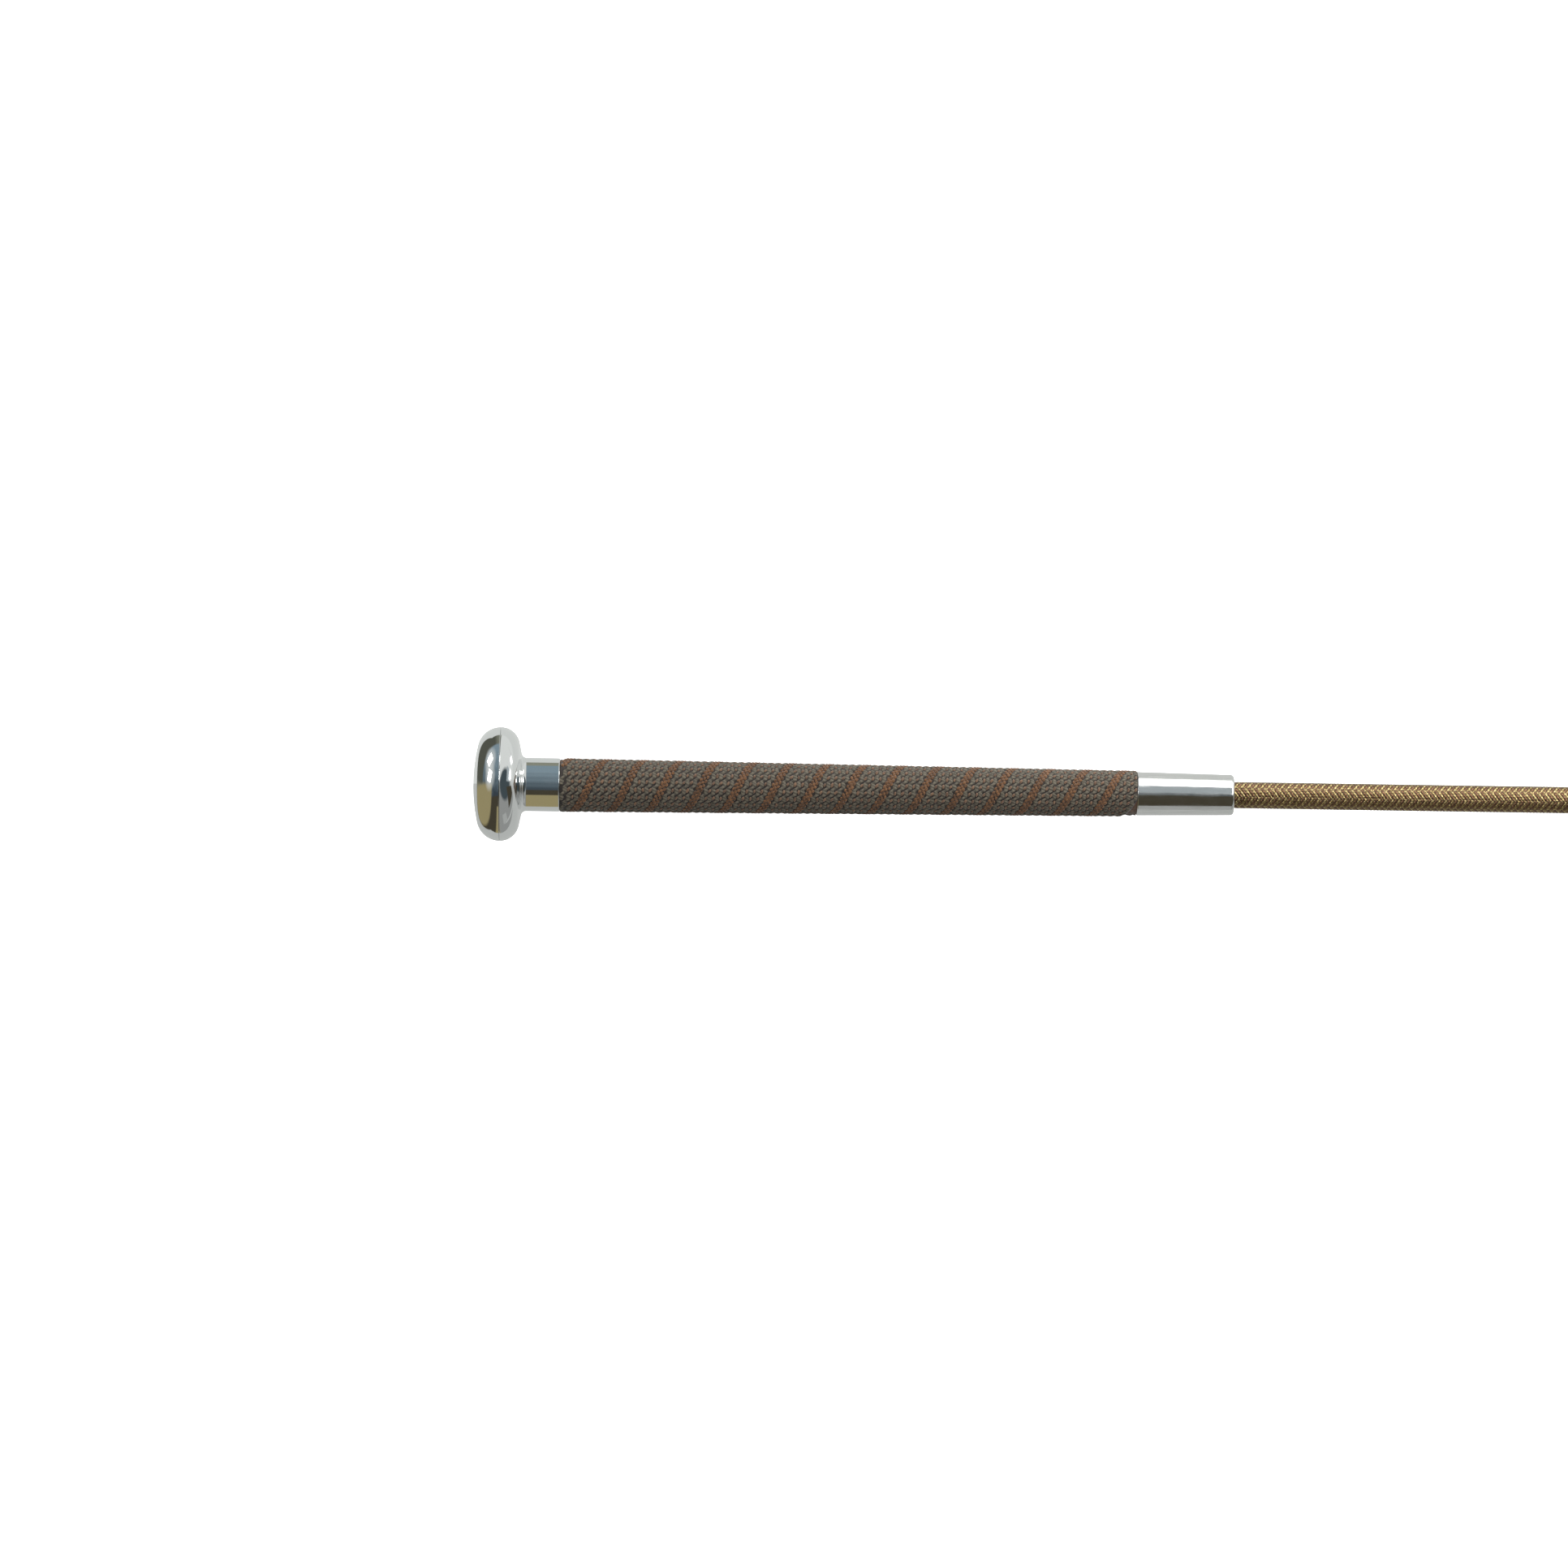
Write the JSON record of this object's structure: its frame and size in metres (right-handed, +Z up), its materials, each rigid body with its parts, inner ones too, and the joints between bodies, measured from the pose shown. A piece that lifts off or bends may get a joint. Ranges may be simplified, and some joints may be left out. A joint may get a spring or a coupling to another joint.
{
  "type": "dressage whip",
  "caption": "Riding whip with a chromed mushroom cap, a tape-wound tapered handle, a polished ferrule, a braided tapering shaft and a short bound lash.",
  "frame": {"origin": "under the middle of the whip's bounding box, on the plane that the cap's rim and the tip binding rest on", "axes": "+X runs along the whip from the cap towards the lash, +Y is across it, +Z is up from the surface that it lies on; the whip's own axis falls 0.81 degrees towards the tip"},
  "size_m": [1.0998, 0.034, 0.034],
  "materials": {
    "cap_chrome": "mirror-polished chrome plate",
    "ferrule_metal": "drawn and polished, with fine lengthwise draw marks",
    "screw_steel": "bright zinc-plated steel",
    "core_plastic": "moulded matt plastic",
    "underlay_cloth": "sticky woven cloth",
    "grip_tape_weave": "coarse non-slip weave of grey cords with rust-coloured ribs, dull",
    "rod_glassfibre": "ground glass-fibre reinforced resin",
    "braid_thread": "tightly braided thread in gold and brown, slightly shiny",
    "binding_thread": "close-wound waxed thread",
    "lash_yarn": "twisted yarns, loose at the end"
  },
  "bodies": {
    "whip": {"cap_dome": "cap_chrome", "cap_back": "cap_chrome", "cap_core": "core_plastic", "cap_screw": "screw_steel", "handle_core": "core_plastic", "grip_underlay": "underlay_cloth", "grip_tape": "grip_tape_weave", "ferrule": "ferrule_metal", "rod": "rod_glassfibre", "braid_cover": "braid_thread", "tip_binding": "binding_thread", "lash_root": "lash_yarn"},
    "lash": {"lash_tuft": "lash_yarn"}
  },
  "joints": [
    {"name": "lash_swing", "type": "hinge", "parent": "whip", "child": "lash", "pos_m": [0.5017, 0, 0.00228], "axis": [0, 0, 1], "range_deg": [-60, 60]}
  ]
}
